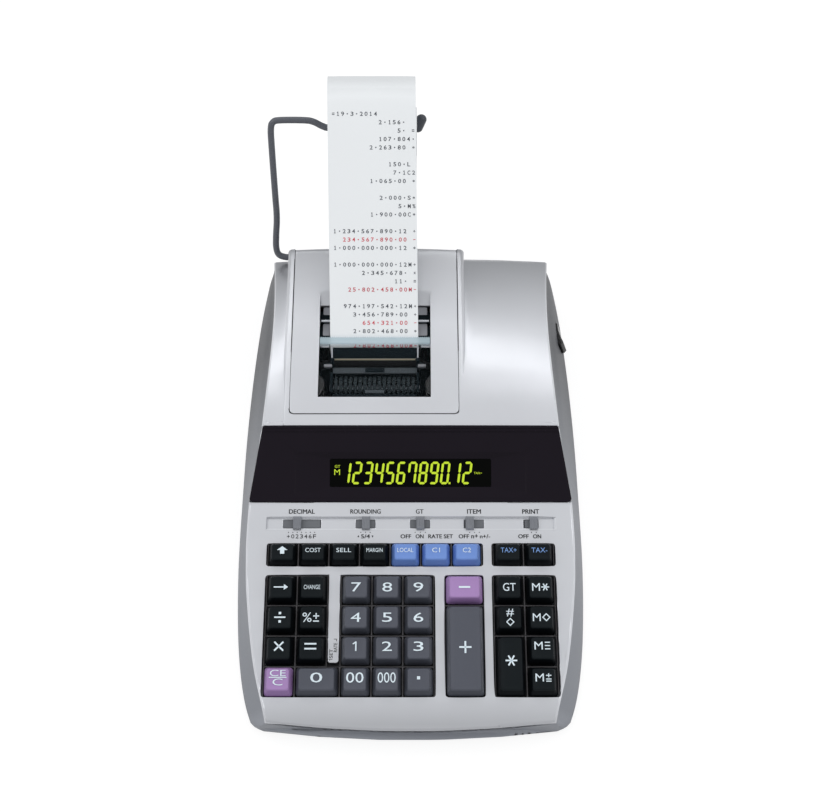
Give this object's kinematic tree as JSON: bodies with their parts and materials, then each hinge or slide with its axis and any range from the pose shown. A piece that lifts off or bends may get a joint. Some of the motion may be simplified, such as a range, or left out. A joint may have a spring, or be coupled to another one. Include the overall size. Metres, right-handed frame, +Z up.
{
  "type": "printing calculator",
  "caption": "Desktop printing calculator with sloping keyboard, tilted display, slide switches and a raised printer fed from a roll on a wire holder.",
  "frame": {"origin": "on the table under the middle of the whole machine, with the paper roll and tape counted", "axes": "+X to the user's right, +Y to the rear, +Z up"},
  "size_m": [0.2212, 0.3996, 0.1557],
  "materials": {
    "silver_case": "metallic silver paint on fine-grained plastic",
    "grey_case": "mid grey moulded plastic",
    "display_black": "glossy black with a slight purple cast",
    "display_glass": "dark display glass with yellow-green figures",
    "clear_window": "clear plastic",
    "mechanism_grey": "dark moulded mechanism plastic",
    "platen_rubber": "black rubber",
    "type_wheel": "dark grey type wheels",
    "spool_black": "black spool with inked ribbon",
    "holder_wire": "dark blue-grey painted steel wire",
    "paper": "white paper",
    "switch_black": "black rocker",
    "frame_black": "black moulded plate",
    "knob_grey": "ribbed grey plastic",
    "key_black": "near-black satin key caps",
    "key_grey": "dark grey satin key caps",
    "key_lilac": "lilac satin key caps",
    "key_blue": "light blue satin key caps"
  },
  "bodies": {
    "case": {"lower_case": "grey_case", "upper_case": "silver_case", "display_panel": "display_black", "display_tube": "display_glass", "printer_chassis": "mechanism_grey", "key_frame": "frame_black"},
    "cover": {"printer_cover": "silver_case", "tear_window": "clear_window", "paper_tape": "paper"},
    "platen": {"platen_roller": "platen_rubber"},
    "wheels": {"type_wheels": "type_wheel"},
    "spool_left": {"ribbon_spool_left": "spool_black"},
    "spool_right": {"ribbon_spool_right": "spool_black"},
    "holder": {"roll_holder": "holder_wire", "paper_web": "paper"},
    "roll": {"paper_roll": "paper"},
    "switch": {"power_switch": "switch_black"},
    "key_feed": {"key_feed": "key_black"},
    "key_cost": {"key_cost": "key_black"},
    "key_sell": {"key_sell": "key_black"},
    "key_margin": {"key_margin": "key_black"},
    "key_convert_home": {"key_convert_home": "key_blue"},
    "key_convert_first": {"key_convert_first": "key_blue"},
    "key_convert_second": {"key_convert_second": "key_blue"},
    "key_tax_plus": {"key_tax_plus": "key_black"},
    "key_tax_minus": {"key_tax_minus": "key_black"},
    "key_shift": {"key_shift": "key_black"},
    "key_change": {"key_change": "key_black"},
    "key_divide": {"key_divide": "key_black"},
    "key_percent": {"key_percent": "key_black"},
    "key_multiply": {"key_multiply": "key_black"},
    "key_equals": {"key_equals": "key_black"},
    "key_clear": {"key_clear": "key_lilac"},
    "key_0": {"key_0": "key_grey"},
    "key_double_0": {"key_double_0": "key_grey"},
    "key_triple_0": {"key_triple_0": "key_grey"},
    "key_point": {"key_point": "key_grey"},
    "key_minus": {"key_minus": "key_lilac"},
    "key_plus": {"key_plus": "key_grey"},
    "key_grand_total": {"key_grand_total": "key_black"},
    "key_memory_total": {"key_memory_total": "key_black"},
    "key_subtotal": {"key_subtotal": "key_black"},
    "key_memory_subtotal": {"key_memory_subtotal": "key_black"},
    "key_total": {"key_total": "key_black"},
    "key_memory_minus": {"key_memory_minus": "key_black"},
    "key_memory_plus": {"key_memory_plus": "key_black"},
    "key_1": {"key_1": "key_grey"},
    "key_2": {"key_2": "key_grey"},
    "key_3": {"key_3": "key_grey"},
    "key_4": {"key_4": "key_grey"},
    "key_5": {"key_5": "key_grey"},
    "key_6": {"key_6": "key_grey"},
    "key_7": {"key_7": "key_grey"},
    "key_8": {"key_8": "key_grey"},
    "key_9": {"key_9": "key_grey"},
    "slide_decimal": {"slide_decimal": "knob_grey"},
    "slide_rounding": {"slide_rounding": "knob_grey"},
    "slide_grand_total": {"slide_grand_total": "knob_grey"},
    "slide_item": {"slide_item": "knob_grey"},
    "slide_print": {"slide_print": "knob_grey"}
  },
  "joints": [
    {"name": "cover_lift", "type": "slide", "parent": "case", "child": "cover", "axis": [0, 0, 1], "range_m": [0, 0.04]},
    {"name": "holder_fold", "type": "hinge", "parent": "case", "child": "holder", "pos_m": [-0.0246, 0.12629, 0.05509], "axis": [-1, 0, 0], "range_deg": [0, 60]},
    {"name": "power_rock", "type": "hinge", "parent": "case", "child": "switch", "pos_m": [0.10339, 0.08389, 0.018], "axis": [-0.2784, 0, 0.9605], "range_deg": [-18, 0]},
    {"name": "platen_turn", "type": "hinge", "parent": "case", "child": "platen", "pos_m": [0, 0.04949, 0.059], "axis": [1, 0, 0], "continuous": true},
    {"name": "wheels_turn", "type": "hinge", "parent": "case", "child": "wheels", "pos_m": [0, 0.01888, 0.055], "axis": [1, 0, 0], "continuous": true},
    {"name": "spool_left_turn", "type": "hinge", "parent": "case", "child": "spool_left", "pos_m": [-0.0662, 0.02089, 0.046], "axis": [0, 0, 1], "continuous": true},
    {"name": "spool_right_turn", "type": "hinge", "parent": "case", "child": "spool_right", "pos_m": [0.0198, 0.02089, 0.046], "axis": [0, 0, 1], "continuous": true},
    {"name": "roll_turn", "type": "hinge", "parent": "holder", "child": "roll", "pos_m": [-0.0246, 0.17203, 0.13083], "axis": [1, 0, 0], "continuous": true},
    {"name": "set_decimal", "type": "slide", "parent": "case", "child": "slide_decimal", "axis": [1, 0, 0], "range_m": [-0.0062, 0.012]},
    {"name": "set_rounding", "type": "slide", "parent": "case", "child": "slide_rounding", "axis": [1, 0, 0], "range_m": [-0.0036, 0.003]},
    {"name": "set_grand_total", "type": "slide", "parent": "case", "child": "slide_grand_total", "axis": [1, 0, 0], "range_m": [-0.0036, 0.0032]},
    {"name": "set_item", "type": "slide", "parent": "case", "child": "slide_item", "axis": [1, 0, 0], "range_m": [-0.0008, 0.006]},
    {"name": "set_print", "type": "slide", "parent": "case", "child": "slide_print", "axis": [1, 0, 0], "range_m": [-0.0034, 0.0001]},
    {"name": "press_clear", "type": "slide", "parent": "case", "child": "key_clear", "axis": [0, 0.1461, -0.9893], "range_m": [0, 0.003], "stiffness_N_per_m": 150, "springref_m": -0.003},
    {"name": "press_plus", "type": "slide", "parent": "case", "child": "key_plus", "axis": [0, 0.1461, -0.9893], "range_m": [0, 0.003], "stiffness_N_per_m": 150, "springref_m": -0.003},
    {"name": "press_5", "type": "slide", "parent": "case", "child": "key_5", "axis": [0, 0.1461, -0.9893], "range_m": [0, 0.003], "stiffness_N_per_m": 150, "springref_m": -0.003},
    {"name": "press_feed", "type": "slide", "parent": "case", "child": "key_feed", "axis": [0, 0.1461, -0.9893], "range_m": [0, 0.003], "stiffness_N_per_m": 150, "springref_m": -0.003},
    {"name": "press_cost", "type": "slide", "parent": "case", "child": "key_cost", "axis": [0, 0.1461, -0.9893], "range_m": [0, 0.003], "stiffness_N_per_m": 150, "springref_m": -0.003},
    {"name": "press_sell", "type": "slide", "parent": "case", "child": "key_sell", "axis": [0, 0.1461, -0.9893], "range_m": [0, 0.003], "stiffness_N_per_m": 150, "springref_m": -0.003},
    {"name": "press_margin", "type": "slide", "parent": "case", "child": "key_margin", "axis": [0, 0.1461, -0.9893], "range_m": [0, 0.003], "stiffness_N_per_m": 150, "springref_m": -0.003},
    {"name": "press_convert_home", "type": "slide", "parent": "case", "child": "key_convert_home", "axis": [0, 0.1461, -0.9893], "range_m": [0, 0.003], "stiffness_N_per_m": 150, "springref_m": -0.003},
    {"name": "press_convert_first", "type": "slide", "parent": "case", "child": "key_convert_first", "axis": [0, 0.1461, -0.9893], "range_m": [0, 0.003], "stiffness_N_per_m": 150, "springref_m": -0.003},
    {"name": "press_convert_second", "type": "slide", "parent": "case", "child": "key_convert_second", "axis": [0, 0.1461, -0.9893], "range_m": [0, 0.003], "stiffness_N_per_m": 150, "springref_m": -0.003},
    {"name": "press_tax_plus", "type": "slide", "parent": "case", "child": "key_tax_plus", "axis": [0, 0.1461, -0.9893], "range_m": [0, 0.003], "stiffness_N_per_m": 150, "springref_m": -0.003},
    {"name": "press_tax_minus", "type": "slide", "parent": "case", "child": "key_tax_minus", "axis": [0, 0.1461, -0.9893], "range_m": [0, 0.003], "stiffness_N_per_m": 150, "springref_m": -0.003},
    {"name": "press_shift", "type": "slide", "parent": "case", "child": "key_shift", "axis": [0, 0.1461, -0.9893], "range_m": [0, 0.003], "stiffness_N_per_m": 150, "springref_m": -0.003},
    {"name": "press_change", "type": "slide", "parent": "case", "child": "key_change", "axis": [0, 0.1461, -0.9893], "range_m": [0, 0.003], "stiffness_N_per_m": 150, "springref_m": -0.003},
    {"name": "press_divide", "type": "slide", "parent": "case", "child": "key_divide", "axis": [0, 0.1461, -0.9893], "range_m": [0, 0.003], "stiffness_N_per_m": 150, "springref_m": -0.003},
    {"name": "press_percent", "type": "slide", "parent": "case", "child": "key_percent", "axis": [0, 0.1461, -0.9893], "range_m": [0, 0.003], "stiffness_N_per_m": 150, "springref_m": -0.003},
    {"name": "press_multiply", "type": "slide", "parent": "case", "child": "key_multiply", "axis": [0, 0.1461, -0.9893], "range_m": [0, 0.003], "stiffness_N_per_m": 150, "springref_m": -0.003},
    {"name": "press_equals", "type": "slide", "parent": "case", "child": "key_equals", "axis": [0, 0.1461, -0.9893], "range_m": [0, 0.003], "stiffness_N_per_m": 150, "springref_m": -0.003},
    {"name": "press_0", "type": "slide", "parent": "case", "child": "key_0", "axis": [0, 0.1461, -0.9893], "range_m": [0, 0.003], "stiffness_N_per_m": 150, "springref_m": -0.003},
    {"name": "press_double_0", "type": "slide", "parent": "case", "child": "key_double_0", "axis": [0, 0.1461, -0.9893], "range_m": [0, 0.003], "stiffness_N_per_m": 150, "springref_m": -0.003},
    {"name": "press_triple_0", "type": "slide", "parent": "case", "child": "key_triple_0", "axis": [0, 0.1461, -0.9893], "range_m": [0, 0.003], "stiffness_N_per_m": 150, "springref_m": -0.003},
    {"name": "press_point", "type": "slide", "parent": "case", "child": "key_point", "axis": [0, 0.1461, -0.9893], "range_m": [0, 0.003], "stiffness_N_per_m": 150, "springref_m": -0.003},
    {"name": "press_minus", "type": "slide", "parent": "case", "child": "key_minus", "axis": [0, 0.1461, -0.9893], "range_m": [0, 0.003], "stiffness_N_per_m": 150, "springref_m": -0.003},
    {"name": "press_grand_total", "type": "slide", "parent": "case", "child": "key_grand_total", "axis": [0, 0.1461, -0.9893], "range_m": [0, 0.003], "stiffness_N_per_m": 150, "springref_m": -0.003},
    {"name": "press_memory_total", "type": "slide", "parent": "case", "child": "key_memory_total", "axis": [0, 0.1461, -0.9893], "range_m": [0, 0.003], "stiffness_N_per_m": 150, "springref_m": -0.003},
    {"name": "press_subtotal", "type": "slide", "parent": "case", "child": "key_subtotal", "axis": [0, 0.1461, -0.9893], "range_m": [0, 0.003], "stiffness_N_per_m": 150, "springref_m": -0.003},
    {"name": "press_memory_subtotal", "type": "slide", "parent": "case", "child": "key_memory_subtotal", "axis": [0, 0.1461, -0.9893], "range_m": [0, 0.003], "stiffness_N_per_m": 150, "springref_m": -0.003},
    {"name": "press_total", "type": "slide", "parent": "case", "child": "key_total", "axis": [0, 0.1461, -0.9893], "range_m": [0, 0.003], "stiffness_N_per_m": 150, "springref_m": -0.003},
    {"name": "press_memory_minus", "type": "slide", "parent": "case", "child": "key_memory_minus", "axis": [0, 0.1461, -0.9893], "range_m": [0, 0.003], "stiffness_N_per_m": 150, "springref_m": -0.003},
    {"name": "press_memory_plus", "type": "slide", "parent": "case", "child": "key_memory_plus", "axis": [0, 0.1461, -0.9893], "range_m": [0, 0.003], "stiffness_N_per_m": 150, "springref_m": -0.003},
    {"name": "press_1", "type": "slide", "parent": "case", "child": "key_1", "axis": [0, 0.1461, -0.9893], "range_m": [0, 0.003], "stiffness_N_per_m": 150, "springref_m": -0.003},
    {"name": "press_2", "type": "slide", "parent": "case", "child": "key_2", "axis": [0, 0.1461, -0.9893], "range_m": [0, 0.003], "stiffness_N_per_m": 150, "springref_m": -0.003},
    {"name": "press_3", "type": "slide", "parent": "case", "child": "key_3", "axis": [0, 0.1461, -0.9893], "range_m": [0, 0.003], "stiffness_N_per_m": 150, "springref_m": -0.003},
    {"name": "press_4", "type": "slide", "parent": "case", "child": "key_4", "axis": [0, 0.1461, -0.9893], "range_m": [0, 0.003], "stiffness_N_per_m": 150, "springref_m": -0.003},
    {"name": "press_6", "type": "slide", "parent": "case", "child": "key_6", "axis": [0, 0.1461, -0.9893], "range_m": [0, 0.003], "stiffness_N_per_m": 150, "springref_m": -0.003},
    {"name": "press_7", "type": "slide", "parent": "case", "child": "key_7", "axis": [0, 0.1461, -0.9893], "range_m": [0, 0.003], "stiffness_N_per_m": 150, "springref_m": -0.003},
    {"name": "press_8", "type": "slide", "parent": "case", "child": "key_8", "axis": [0, 0.1461, -0.9893], "range_m": [0, 0.003], "stiffness_N_per_m": 150, "springref_m": -0.003},
    {"name": "press_9", "type": "slide", "parent": "case", "child": "key_9", "axis": [0, 0.1461, -0.9893], "range_m": [0, 0.003], "stiffness_N_per_m": 150, "springref_m": -0.003}
  ]
}
